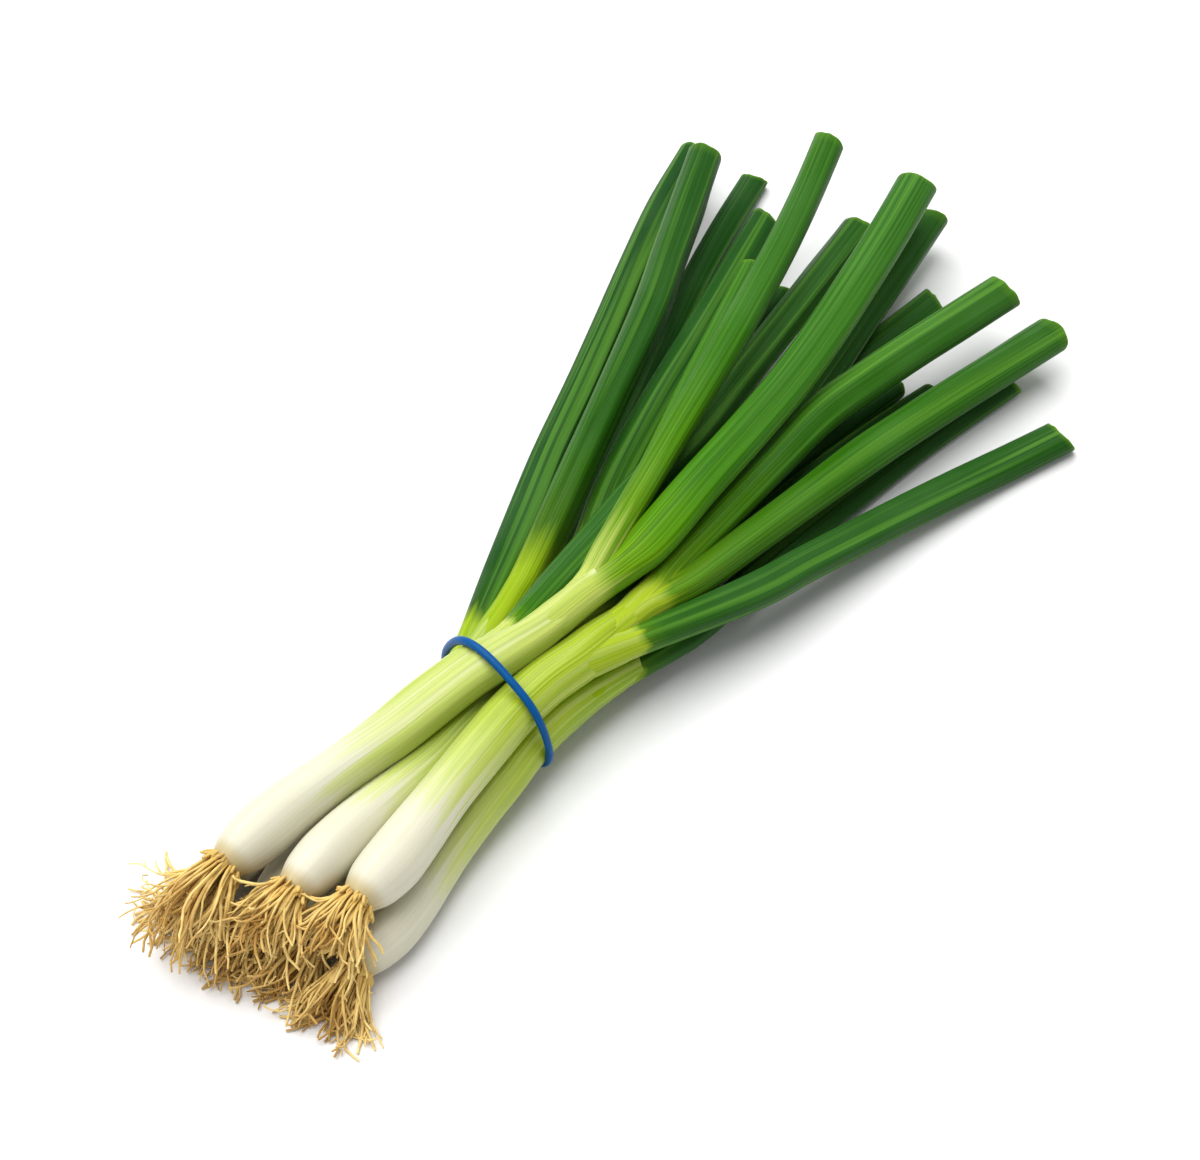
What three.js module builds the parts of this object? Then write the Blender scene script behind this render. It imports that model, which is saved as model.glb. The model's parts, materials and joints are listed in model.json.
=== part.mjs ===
// A bunch of seven spring onions, tied with one rubber band and lying on a table.
// Lengths are in millimetres. While it is laid out, X runs from the roots to the leaf
// tips with x = 0 at the band, Y points to the left and Z up, with the table at z = 0.
// At the end the bunch is moved so that the origin is the middle of its underside.

import * as THREE from "three";

// Driving dimensions.
const ROOT_PLATE_RADIUS = 4.6; // the hard disc that the roots grow from
const BULB_STATION = 15; // from the root plate to the widest place of the bulb
const TUFT_LENGTH = 27; // a tuft of roots, from the root plate to its tips
const TUFT_RADIUS = 8.2;
const LEAF_WALL = 0.9; // a leaf is a hollow tube
const LEAF_HOLLOW = 24; // how deep the cut end is open here
const LEAF_FOOT = 3.4; // half width where a leaf leaves its stem
const LEAF_FOOT_LENGTH = 20;
const FORK = 8; // the end of a stem, where its leaves part
const LEAF_FLATNESS = 0.76; // thickness of a leaf over its width
const BAND_RADIUS = 1.3;
const BAND_SHIFT = 0.5; // where the band crosses the middle of the bunch
const BAND_TURN = 0.215; // how far the band runs to the leaves, per mm to the left
const BAND_LEAN = -0.04; // and per mm of height
const BAND_HEIGHT = 18;
const GAP = 0.5; // free space between neighbours
const PRESS = 0.7; // how far a bulb is pressed flat against the table
const SIDES = 10; // of a stem, a leaf or a tuft

// Each onion: the middle line of its stem from the root plate to the fork of its top
// leaves, the radii of its bulb and its stem, and its leaves from the outermost to the
// innermost. A leaf has the middle line from its foot to its cut end, and its full width.
const ONIONS = [
  {
    bulb: 8.8,
    neck: 6.4,
    stem: [[-92, 29, 25], [-61, 24, 26.5], [-29, 13.8, 30], [4, 4.8, 32.5], [24, -1, 33], [46, -3, 33]],
    leaves: [
      {
        width: 10.5,
        line: [
          [20, 10, 29], [34, 13.5, 27], [53, 14, 25], [75, 14, 22], [106, 10, 20],
          [154, 12, 18], [208, 15, 17], [236, 17, 16],
        ],
      },
      {
        width: 9.5,
        line: [
          [49, 2.5, 29.5], [67, 4.5, 28.5], [84, 8, 28.5], [97, 10.5, 28], [133, 18.5, 25],
          [170, 27, 23], [197, 33.5, 21],
        ],
      },
      {
        width: 10.5,
        line: [
          [49, 1, 35], [72, 3, 36], [114, 9, 36], [147, 14, 36], [210, 27, 34],
          [250, 38, 33],
        ],
      },
      {
        width: 13.5,
        line: [
          [49, -6, 33], [68, -9, 32], [96, -10, 33], [155, -9, 34], [220, -1, 32],
          [250, 4, 31],
        ],
      },
    ],
  },
  {
    bulb: 8.2,
    neck: 6,
    stem: [
      [-89, 8, 25], [-64, 6, 24], [-42, 5, 22], [-19, 3, 20.5], [3, 1.7, 20],
      [22, 0, 19], [46, -2, 18.5],
    ],
    leaves: [
      { width: 9, line: [[49, 2, 18], [75, 7, 14], [104, 11, 12], [157, 20, 8], [205, 27, 5]] },
      { width: 11.5, line: [[49, -6, 18], [90, -9, 15], [152, -9, 13], [203, -4, 12], [256, 1, 12]] },
    ],
  },
  {
    bulb: 8.8,
    neck: 6.5,
    stem: [
      [-82.5, -9, 25], [-61, -9, 25.5], [-41, -8.5, 26], [-9, -8.5, 27], [12, -11, 27],
      [30, -15, 26], [60, -18, 24],
    ],
    leaves: [
      {
        width: 12,
        line: [
          [40, -25, 25], [56, -30, 22.5], [71, -36, 20], [103, -46, 15], [139, -57, 9],
          [172, -69, 5], [200, -81, 3],
        ],
      },
      {
        width: 13.5,
        line: [
          [63, -21.5, 23], [82, -25, 23], [131, -35, 20], [183, -47, 16], [229, -60, 14],
        ],
      },
      {
        width: 13.5,
        line: [
          [63, -14.5, 25], [82, -13, 25], [115, -15, 25], [167, -24, 24], [231, -41, 22],
        ],
      },
    ],
  },
  {
    bulb: 8,
    neck: 6.2,
    stem: [
      [-94, -14, 7.7], [-68, -12, 7.7], [-40, -11, 9.5], [-11, -11, 13], [2, -12.5, 15],
      [23, -17.5, 15], [40, -21.5, 13.5],
    ],
    leaves: [
      { width: 9.5, line: [[43, -25, 12], [78, -30, 8.5], [112, -34, 6], [168, -44, 3], [211, -55, 3]] },
      { width: 9, line: [[43, -19, 12], [70, -17, 9], [117, -20, 6], [169, -31, 5], [193, -38, 5]] },
    ],
  },
  {
    bulb: 8.2,
    neck: 5.8,
    stem: [[-92, 2, 7.7], [-60, 1, 7.7], [-30, -1, 8.6], [0, -3, 9.3], [30, -5, 9], [55, -5, 8]],
    leaves: [
      { width: 10, line: [[58, -1.5, 8], [90, -2, 5], [130, -3, 4], [174, -6, 3], [231, -16, 3]] },
      { width: 9, line: [[58, -8.5, 8], [90, -9, 5], [130, -12, 4], [160, -18, 3], [190, -25, 3]] },
    ],
  },
  {
    bulb: 8.2,
    neck: 5.8,
    stem: [[-93, 19, 7.7], [-60, 16, 7.7], [-30, 12, 8.6], [0, 9, 9.3], [30, 10, 9], [52, 13, 9]],
    leaves: [
      {
        width: 9,
        line: [
          [55, 17, 9], [80, 25, 6], [101, 31, 5], [147, 43, 3], [175, 50, 3],
          [203, 57, 3], [248, 65, 3],
        ],
      },
      { width: 10, line: [[55, 9.5, 10], [80, 19, 12], [125, 30, 12], [174, 38, 12], [227, 48, 10]] },
    ],
  },
  {
    bulb: 8.2,
    neck: 5.8,
    stem: [
      [-90, 37, 7.7], [-60, 32, 8.5], [-40, 26.5, 11.5], [-20, 20, 16], [0, 15, 20],
      [20, 16.5, 21], [38, 19, 21],
    ],
    leaves: [
      {
        width: 10,
        line: [
          [19, 24.5, 17], [44, 30, 16], [71, 39, 14], [102, 49, 12], [134, 58, 10],
          [174, 70, 8], [208, 80, 7], [245, 88, 6],
        ],
      },
      {
        width: 11.5,
        line: [
          [41, 19.5, 21.5], [66, 23, 22], [100, 33, 22], [133, 42, 21], [175, 57, 19],
          [201, 66, 18], [236, 78, 17],
        ],
      },
    ],
  },
];

// ---------- how thick each part is along its middle line ----------

// Half width at a station, read off a list of [station, half width] with smooth steps.
function profileAt(profile, station) {
  const after = profile.findIndex(([s]) => s >= station);
  if (after === 0) return profile[0][1];
  if (after < 0) return profile[profile.length - 1][1];
  const [s0, r0] = profile[after - 1];
  const [s1, r1] = profile[after];
  return THREE.MathUtils.lerp(r0, r1, THREE.MathUtils.smoothstep(station, s0, s1));
}

// A stem's line starts at the tips of its roots, so that the tuft is laid out with it.
function stemProfile({ bulb, neck }, length) {
  const plate = TUFT_LENGTH;
  return [
    [0, 0.72 * TUFT_RADIUS],
    [0.45 * TUFT_LENGTH, TUFT_RADIUS],
    [plate, ROOT_PLATE_RADIUS],
    [plate + 0.4 * BULB_STATION, 0.86 * bulb],
    [plate + BULB_STATION, bulb],
    [plate + 4 * BULB_STATION, 1.06 * neck],
    [plate + 6 * BULB_STATION, neck],
    [length - FORK, neck],
    [length, 0.78 * neck],
  ];
}

function leafProfile(width, length) {
  return [
    [0, LEAF_FOOT],
    [LEAF_FOOT_LENGTH, 0.5 * width],
    [length, 0.47 * width],
  ];
}

// ---------- the lines that the pieces follow ----------

const STEP = 6; // between the sampled points of a line
const DROOP = 0.5; // how steeply the roots fall at their tips

// A line is its sampled points, with the half width and half thickness at each.
function sampledLine(points, profileOf, flatness) {
  const curve = new THREE.CatmullRomCurve3(points, false, "centripetal");
  const length = curve.getLength();
  const steps = Math.round(length / STEP);
  const profile = profileOf(length);
  return curve.getSpacedPoints(steps).map((point, i) => {
    const half = profileAt(profile, (i / steps) * length);
    return { point, half, thin: half * flatness };
  });
}

// The roots carry on from the root plate, away from the stem, and fall to the table.
function tuftPoints(stem) {
  const back = stem[0].clone().sub(stem[1]).setZ(0).normalize();
  return [1, 0.5].map((share) => {
    const fall = new THREE.Vector3(0, 0, -DROOP * share);
    const way = back.clone().add(fall).normalize();
    const tip = stem[0].clone().addScaledVector(way, share * TUFT_LENGTH);
    tip.z = Math.max(0.8 * TUFT_RADIUS, tip.z);
    return tip;
  });
}

function linesOf(onion, number) {
  const stem = onion.stem.map((p) => new THREE.Vector3(...p));
  const lines = [
    {
      name: `onion_${number}`,
      samples: sampledLine([...tuftPoints(stem), ...stem], (length) => stemProfile(onion, length), 1),
    },
  ];
  onion.leaves.forEach(({ width, line }, i) => {
    const points = line.map((p) => new THREE.Vector3(...p));
    const samples = sampledLine(points, (length) => leafProfile(width, length), LEAF_FLATNESS);
    lines.push({ name: `onion_${number}_leaf_${i + 1}`, leaf: true, samples });
  });
  return lines;
}

// ---------- settling: neighbours push each other clear, and nothing sinks into the table ----------

const ROUNDS = 400;
const REACH = 3; // samples on each side of the nearest one that are looked at
const SMOOTHING = 0.5;

// Half the size of a flattened section, measured along a direction.
function reachAlong(sample, direction) {
  const { x, y, z } = direction;
  return Math.hypot(sample.half * Math.hypot(x, y), sample.thin * z);
}

// Pushes the samples of two lines apart where they are closer than they may be.
function pushApart(one, other, moves) {
  one.samples.forEach((a, i) => {
    let nearest = null;
    let least = Infinity;
    for (let j = 0; j < other.samples.length; j += 1) {
      const b = other.samples[j];
      if (Math.abs(a.point.x - b.point.x) > REACH * STEP) continue;
      const distance = a.point.distanceToSquared(b.point);
      if (distance < least) {
        least = distance;
        nearest = j;
      }
    }
    if (nearest === null) return;
    const b = other.samples[nearest];
    const tangent = other.samples[Math.min(nearest + 1, other.samples.length - 1)].point
      .clone()
      .sub(other.samples[Math.max(nearest - 1, 0)].point)
      .normalize();
    const apart = a.point.clone().sub(b.point);
    const beyondEnd = nearest === 0 || nearest === other.samples.length - 1;
    const along = apart.dot(tangent);
    if (beyondEnd && Math.abs(along) > STEP / 2) return;
    apart.addScaledVector(tangent, -along);
    const distance = Math.max(apart.length(), 1e-3);
    const direction = apart.divideScalar(distance);
    const needed = reachAlong(a, direction) + reachAlong(b, direction) + GAP;
    if (distance >= needed) return;
    const push = direction.multiplyScalar(0.25 * (needed - distance));
    moves.get(one)[i].add(push);
    moves.get(other)[nearest].sub(push);
  });
}

// Spreads each move over its neighbours along the line, so that a line stays smooth.
function smoothed(moves) {
  return moves.map((move, i) => {
    const before = moves[Math.max(i - 1, 0)];
    const after = moves[Math.min(i + 1, moves.length - 1)];
    return move.clone().lerp(before.clone().add(after).multiplyScalar(0.5), SMOOTHING);
  });
}

// Near x = 0 the band needs its own thickness under the stems.
function bandRoom(x) {
  const near = 1 - THREE.MathUtils.smoothstep(Math.abs(x), 10, 34);
  return near * (2 * BAND_RADIUS + 2 * GAP + PRESS);
}

function settle(lines) {
  for (let round = 0; round < ROUNDS; round += 1) {
    const moves = new Map(lines.map((l) => [l, l.samples.map(() => new THREE.Vector3())]));
    for (const one of lines) {
      for (const other of lines) {
        if (one !== other) pushApart(one, other, moves);
      }
    }
    for (const line of lines) {
      let spread = moves.get(line);
      for (let pass = 0; pass < 3; pass += 1) spread = smoothed(spread);
      line.samples.forEach((s, i) => {
        s.point.add(spread[i]);
        const lowest = s.thin + (line.leaf ? 0 : bandRoom(s.point.x) - PRESS);
        s.point.z = Math.max(s.point.z, lowest);
      });
    }
  }
}

// ---------- making the solids ----------

// Lays a straight solid of revolution, whose axis is Y, along a settled line. A vertex at
// height y goes to station y of the line, with its x to the side and its z up.
function layAlong(geometry, samples, flatness, start, length) {
  const curve = new THREE.CatmullRomCurve3(samples.map((s) => s.point), false, "centripetal");
  curve.arcLengthDivisions = 400;
  const whole = curve.getLength();
  const up = new THREE.Vector3(0, 0, 1);
  const position = geometry.getAttribute("position");
  const vertex = new THREE.Vector3();
  for (let i = 0; i < position.count; i += 1) {
    vertex.fromBufferAttribute(position, i);
    const u = THREE.MathUtils.clamp((start + vertex.y) / whole, 0, 1);
    const tangent = curve.getTangentAt(u);
    const side = tangent.clone().cross(up).normalize();
    const top = side.clone().cross(tangent);
    const beyond = start + vertex.y - u * whole;
    const laid = curve
      .getPointAt(u)
      .addScaledVector(tangent, beyond)
      .addScaledVector(side, vertex.x)
      .addScaledVector(top, vertex.z * flatness);
    laid.z = Math.max(laid.z, 0);
    position.setXYZ(i, laid.x, laid.y, laid.z);
  }
  geometry.computeVertexNormals();
  return geometry;
}

// A solid of revolution with a facet underneath, so that a pressed bulb has a flat face.
function revolve(outline) {
  const points = outline.map(([radius, station]) => new THREE.Vector2(radius, station));
  return new THREE.LatheGeometry(points, SIDES, Math.PI / SIDES);
}

function spaced(from, to, count) {
  return Array.from({ length: count + 1 }, (_, i) => THREE.MathUtils.lerp(from, to, i / count));
}

function lengthOf(samples) {
  const curve = new THREE.CatmullRomCurve3(samples.map((s) => s.point), false, "centripetal");
  return curve.getLength();
}

const white = new THREE.MeshStandardMaterial({ color: 0xe9e8cf, roughness: 0.35 });
const green = new THREE.MeshStandardMaterial({ color: 0x2f6b2b, roughness: 0.5 });
const straw = new THREE.MeshStandardMaterial({ color: 0xc9a568, roughness: 0.8 });
const blue = new THREE.MeshStandardMaterial({ color: 0x10559c, roughness: 0.45 });

function named(name, geometry, material) {
  const mesh = new THREE.Mesh(geometry, material);
  mesh.name = name;
  return mesh;
}

// The tuft is a plain closed shape of the space that the roots fill.
function makeTuft(line, onion) {
  const profile = stemProfile(onion, lengthOf(line.samples));
  const end = TUFT_LENGTH - GAP;
  const outline = [0, 0.2, 0.45, 0.75, 1].map((share) => [profileAt(profile, share * end), share * end]);
  const geometry = revolve([[0, 0], ...outline, [0, end]]);
  return named(`${line.name}_roots`, layAlong(geometry, line.samples, 1, 0), straw);
}

// The stem: root plate, bulb and the nested leaf bases, up to the fork.
function makeStem(line, onion) {
  const whole = lengthOf(line.samples);
  const profile = stemProfile(onion, whole);
  const length = whole - TUFT_LENGTH;
  const bulbStations = [0, 0.18, 0.45, 0.8, 1.2, 1.9, 3].map((share) => share * BULB_STATION);
  const shaft = spaced(4.2 * BULB_STATION, length - FORK, 5);
  const stations = [...bulbStations, ...shaft, length - 0.5 * FORK, length];
  const outline = stations.map((s) => [profileAt(profile, TUFT_LENGTH + s), s]);
  const geometry = revolve([[0, 0], ...outline, [0, length]]);
  return named(`${line.name}_stem`, layAlong(geometry, line.samples, 1, TUFT_LENGTH), white);
}

// A leaf is closed at its foot and open at its cut end.
function makeLeaf(line, width) {
  const length = lengthOf(line.samples);
  const profile = leafProfile(width, length);
  const foot = [0, 0.3 * LEAF_FOOT_LENGTH, 0.65 * LEAF_FOOT_LENGTH];
  const stations = [...foot, ...spaced(LEAF_FOOT_LENGTH, length, 7)];
  const outer = stations.map((s) => [profileAt(profile, s), s]);
  const hollow = profileAt(profile, length) - LEAF_WALL;
  const inner = [[hollow, length], [hollow, length - LEAF_HOLLOW], [0, length - LEAF_HOLLOW]];
  const geometry = revolve([[0, 0], ...outer, ...inner]);
  return named(line.name, layAlong(geometry, line.samples, LEAF_FLATNESS, 0), green);
}

// The x of the slanting plane that the band lies in.
const bandX = (y, z) => BAND_SHIFT + BAND_TURN * y + BAND_LEAN * (z - BAND_HEIGHT);

// The band runs tight round the stems: at each direction across the bunch it touches
// whichever stem reaches furthest that way.
function makeBand(stemLines) {
  const stretch = BAND_RADIUS + 1.6 * GAP;
  const across = new THREE.Vector3(1, -BAND_TURN, -BAND_LEAN);
  const sections = stemLines.map(({ samples }) => {
    const away = ({ point }) => point.x - bandX(point.y, point.z);
    const nearest = samples.reduce((best, s) => (Math.abs(away(s)) < Math.abs(away(best)) ? s : best));
    const next = samples[samples.indexOf(nearest) + 1];
    const way = next.point.clone().sub(nearest.point);
    const t = -away(nearest) / way.dot(across);
    return { centre: nearest.point.clone().addScaledVector(way, t), radius: nearest.half, way };
  });
  const geometry = new THREE.TorusGeometry(30, BAND_RADIUS, 8, 44);
  const position = geometry.getAttribute("position");
  for (let i = 0; i < position.count; i += 1) {
    const x = position.getX(i);
    const y = position.getY(i);
    const angle = Math.atan2(y, x);
    const outward = new THREE.Vector3(0, Math.cos(angle), Math.sin(angle));
    // A stem that crosses the band at a slant has a longer section there.
    const slanted = ({ radius, way }) => {
      const share = way.dot(outward) / way.dot(across);
      return radius * outward.clone().addScaledVector(across, -share).length();
    };
    const reach = (section) => section.centre.dot(outward) + slanted(section);
    const touched = sections.reduce((best, s) => (reach(s) > reach(best) ? s : best));
    const rise = Math.hypot(x, y) - 30;
    const placed = touched.centre.clone().addScaledVector(outward, slanted(touched) + stretch + rise);
    placed.x = bandX(placed.y, placed.z) + position.getZ(i);
    position.setXYZ(i, placed.x, placed.y, placed.z);
  }
  return named("rubber_band", geometry, blue);
}

// ---------- the bunch ----------

const onionLines = ONIONS.map((onion, i) => linesOf(onion, i + 1));
settle(onionLines.flat());

const bunch = new THREE.Group();
onionLines.forEach(([stem, ...leaves], i) => {
  bunch.add(makeTuft(stem, ONIONS[i]));
  bunch.add(makeStem(stem, ONIONS[i]));
  leaves.forEach((leaf, k) => bunch.add(makeLeaf(leaf, ONIONS[i].leaves[k].width)));
});
bunch.add(makeBand(onionLines.map(([stem]) => stem)));

const box = new THREE.Box3().setFromObject(bunch, true);
const middle = box.getCenter(new THREE.Vector3());
bunch.position.set(-middle.x, -middle.y, -box.min.z);

export default bunch;
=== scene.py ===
# A bunch of seven spring onions, tied with a rubber band and lying on a table.
# The solids of the bunch come first, then each kind of piece is made over them.
import json
import math
import random

import bmesh
import bpy
from mathutils import Matrix, Vector, noise

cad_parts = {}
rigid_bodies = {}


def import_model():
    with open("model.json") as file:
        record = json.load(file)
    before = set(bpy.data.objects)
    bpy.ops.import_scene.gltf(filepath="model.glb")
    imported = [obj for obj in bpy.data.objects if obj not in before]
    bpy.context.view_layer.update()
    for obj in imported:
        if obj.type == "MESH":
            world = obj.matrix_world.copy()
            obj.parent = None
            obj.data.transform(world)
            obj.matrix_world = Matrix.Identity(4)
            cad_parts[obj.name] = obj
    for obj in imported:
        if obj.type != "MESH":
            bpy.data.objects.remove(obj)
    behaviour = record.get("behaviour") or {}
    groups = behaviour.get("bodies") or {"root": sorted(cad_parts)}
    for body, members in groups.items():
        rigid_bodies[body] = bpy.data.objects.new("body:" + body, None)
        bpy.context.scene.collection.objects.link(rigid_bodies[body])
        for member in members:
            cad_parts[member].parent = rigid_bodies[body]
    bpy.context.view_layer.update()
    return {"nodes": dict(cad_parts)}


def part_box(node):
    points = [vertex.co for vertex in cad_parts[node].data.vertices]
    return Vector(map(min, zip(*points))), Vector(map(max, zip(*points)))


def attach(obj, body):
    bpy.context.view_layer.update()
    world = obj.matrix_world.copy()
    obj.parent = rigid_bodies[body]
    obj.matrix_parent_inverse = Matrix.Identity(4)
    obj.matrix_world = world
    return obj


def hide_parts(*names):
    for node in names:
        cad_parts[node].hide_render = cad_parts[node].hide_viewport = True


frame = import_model()
bpy.ops.object.select_all(action="DESELECT")

# ------------------------------------------------------------------ stems
# The white stem of each onion is a round bulb over a root plate and then the sheaths of
# its leaves, wrapped tightly over each other. The outermost sheath ends in a slanting
# mouth, from which the leaves come out, and its edge there is thin and pale; the pale edge
# is partly its own colour and partly a painted crescent highlight.

CAD_SIDES = 10  # corners of a ring of the plain solids
STEM_SIDES = 48
STEM_STEP = 0.0016  # between the rings of a stem
SIDE_LEAF = 0.008  # a leaf that parts this far before the mouth grows out of the side
ONIONS = range(1, 8)
LEAVES = {1: 4, 2: 2, 3: 3, 4: 2, 5: 2, 6: 2, 7: 2}


def rings_of(node):
    """The middle, half width and half thickness of each ring of a plain solid, foot first."""
    solid = bmesh.new()
    solid.from_mesh(frame["nodes"][node].data)
    bmesh.ops.remove_doubles(solid, verts=solid.verts, dist=1e-6)
    solid.verts.index_update()
    poles = [v for v in solid.verts if len(v.link_edges) == CAD_SIDES]
    pole = min(poles, key=lambda v: v.co.x)
    seen, rings = {pole.index}, []
    ring = [e.other_vert(pole) for e in pole.link_edges]
    while len(ring) == CAD_SIDES:
        seen.update(v.index for v in ring)
        middle = sum((v.co for v in ring), Vector()) / CAD_SIDES
        if rings and middle.x < rings[-1][0].x + 0.0002:
            break
        wide = max((v.co - middle).xy.length for v in ring)
        thick = max(abs(v.co.z - middle.z) for v in ring) / math.cos(math.pi / CAD_SIDES)
        rings.append((middle, wide, thick))
        following = {e.other_vert(v).index for v in ring for e in v.link_edges} - seen
        solid.verts.ensure_lookup_table()
        ring = [solid.verts[i] for i in sorted(following)]
    solid.free()
    return rings


class Route:
    """A smooth line through rings. A station is a distance along it, in metres."""

    STEP = 0.001

    def __init__(self, rings, start=0.0):
        self.knots = []
        self.start = start
        ends = [rings[0]] + rings + [rings[-1]]
        for before, here, there, after in zip(ends, ends[1:], ends[2:], ends[3:]):
            span = (there[0] - here[0]).length
            pieces = max(1, round(span / self.STEP))
            for i in range(pieces):
                fours = zip(before, here, there, after)
                self.add([self.bent(*four, i / pieces) for four in fours])
        self.add(rings[-1])
        self.length = self.knots[-1][0]

    def add(self, values):
        station = self.start
        if self.knots:
            station = self.knots[-1][0] + (values[0] - self.knots[-1][1]).length
        self.knots.append((station, *values))

    @staticmethod
    def bent(a, b, c, d, t):
        """The value at a share t of the way from b to c, on a curve through all four."""
        return 0.5 * (2 * b + (c - a) * t + (2 * a - 5 * b + 4 * c - d) * t * t
                      + (3 * b - a - 3 * c + d) * t * t * t)

    def at(self, station):
        """Place, direction, half width and half thickness at a station, also beyond the ends."""
        low, high = 0, len(self.knots) - 1
        while high - low > 1:
            half = (low + high) // 2
            low, high = (half, high) if self.knots[half][0] <= station else (low, half)
        (s0, p0, w0, t0), (s1, p1, w1, t1) = self.knots[low], self.knots[high]
        share = (station - s0) / (s1 - s0)
        before = self.knots[max(low - 3, 0)]
        after = self.knots[min(high + 3, len(self.knots) - 1)]
        way = (after[1] - before[1]).normalized()
        held = min(max(share, 0), 1)
        return p0 + (p1 - p0) * share, way, w0 + (w1 - w0) * held, t0 + (t1 - t0) * held


def smooth(low, high, value):
    """0 below low and 1 above high, with a soft step between."""
    t = min(max((value - low) / (high - low), 0), 1)
    return t * t * (3 - 2 * t)


def straight_tube(name, sides, rings):
    """An upright tube one metre high with closed ends and evenly spaced rings of vertices."""
    bpy.ops.mesh.primitive_cylinder_add(
        vertices=sides, radius=1, depth=1, end_fill_type="TRIFAN", location=(0, 0, 0.5))
    tube = bpy.context.object
    tube.name = tube.data.name = name
    bpy.ops.object.transform_apply(location=True, rotation=False, scale=False)
    bpy.ops.object.mode_set(mode="EDIT")
    bpy.ops.mesh.select_mode(type="EDGE")
    bpy.ops.mesh.select_all(action="DESELECT")
    mesh = bmesh.from_edit_mesh(tube.data)
    for edge in mesh.edges:
        edge.select = abs(edge.verts[0].co.z - edge.verts[1].co.z) > 0.5
    bmesh.update_edit_mesh(tube.data)
    bpy.ops.mesh.subdivide(number_cuts=rings - 2)
    bpy.ops.mesh.select_all(action="SELECT")
    bpy.ops.mesh.faces_shade_smooth()
    bpy.ops.object.mode_set(mode="OBJECT")
    return tube


def lay(tube, route, stations, section, seed):
    """Lays a straight tube along a route, with a station for each of its rings.
    section(index, angle) is a ring's share of the width and of the thickness there, its shift
    along the route, and how pale it is. The unbent place is kept for the veins."""
    mesh = tube.data
    count = len(stations)
    mesh.attributes.new("straight", "FLOAT_VECTOR", "POINT")
    for name in ("along", "edge"):
        mesh.attributes.new(name, "FLOAT", "POINT")
    straight, along, edge = (mesh.attributes[name] for name in ("straight", "along", "edge"))
    up = Vector((0, 0, 1))
    girth = route.at(0.6 * route.length)[2]
    for vertex in mesh.vertices:
        index = min(max(round(vertex.co.z * (count - 1)), 0), count - 1)
        angle = math.atan2(vertex.co.y, vertex.co.x)
        reach = min(vertex.co.xy.length, 1)
        width, height, shift, pale = section(index, angle)
        station = stations[index] + shift * reach
        place, way, wide, thick = route.at(station)
        side = way.cross(up).normalized()
        top = side.cross(way)
        across = reach * width * wide * math.cos(angle)
        above = reach * height * thick * math.sin(angle)
        vertex.co = place + side * across + top * above
        vertex.co.z = max(vertex.co.z, 0.0)
        round_it = girth * reach
        unbent = Vector((round_it * math.cos(angle), round_it * math.sin(angle), station)) * 1000
        aside = Vector((seed * 37.0, seed * 11.0, seed * 53.0))
        straight.data[vertex.index].vector = unbent + aside
        along.data[vertex.index].value = station * 1000
        edge.data[vertex.index].value = pale
    mesh.update()
    bpy.ops.object.select_all(action="DESELECT")


def facets(draw, count):
    """The flat sides that a soft tube takes on between its neighbours: direction and reach."""
    step = 2 * math.pi / count
    return [((i + draw.uniform(-0.24, 0.24)) * step, draw.uniform(0.94, 1.03))
            for i in range(count)]


def faceted(flats, angle, sharpness):
    """The radius at an angle of a tube with these flat sides and rounded corners between them."""
    total = sum((max(math.cos(angle - turn), 0.0) / reach) ** sharpness for turn, reach in flats)
    return total ** (-1 / sharpness)


def between(angle, other):
    """How far apart two directions are, from 0 for the same to pi for opposite."""
    return abs(math.remainder(angle - other, 2 * math.pi))


stem_routes = {n: Route(rings_of(f"onion_{n}_stem")) for n in ONIONS}


def fork_of(n, k):
    """Where on its stem a leaf begins, the shift of its foot from the stem, and its direction."""
    stem = stem_routes[n]
    foot = rings_of(f"onion_{n}_leaf_{k}")[0][0]
    near = min((i * 0.001 for i in range(int(stem.length * 1000) + 1)),
               key=lambda s: (stem.at(s)[0] - foot).length)
    place, way, _, _ = stem.at(near)
    shift = foot - place
    shift -= way * shift.dot(way)
    side = way.cross(Vector((0, 0, 1))).normalized()
    return near, shift, math.atan2(shift.dot(side.cross(way)), shift.dot(side))


SHAFT_BEGINS = (0.025, 0.08)  # where the round bulb passes into a shaft with soft flat sides
SHAFT_FLATS, FLAT_SHARPNESS, FLAT_REACH = 7, 10, 0.985
RIPPLES, RIPPLE_HEIGHT = 28, 0.014  # per metre, and as a share of the width
# The fuller shafts, with their two thick outer sheaths.
SHAFT_FULLNESS = {1: 1.06, 3: 1.08, 4: 1.03}
# The direction of a sheath that stands out beside the shaft, how far it does, and where it
# swells and lies down again. A groove runs along beside it.
SIDE_SHEATH = {1: (2.75, 0.3), 3: (2.4, 0.08)}
SHEATH_SWELLS, SHEATH_LIES_DOWN = (0.045, 0.08), (0.092, 0.112)
GROOVE_TURN, GROOVE_DEPTH = 0.85, 0.09
# The wrapped sheaths: the step at the edge of each, and how far up it begins to show.
SHEATH_EDGES = ((0.065, 0.05), (0.05, 0.03), (0.04, 0.018), (0.03, 0.004))
# How full the lip of the mouth is beside the shaft, and how pale its edge is: its own thin
# pale edge and a painted crescent highlight. The rest have a lip that lies flat on the leaves.
WIDE_LIP, FLAT_LIP = {1: (0.93, 1.0)}, (0.78, 0.3)
UNDER_LIP = 0.68  # the width of the mouth away from its lip
MOUTH_INSIDE = (0.97, 0.92, 0.88, 0.5)  # the rings that go down inside the mouth

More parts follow.
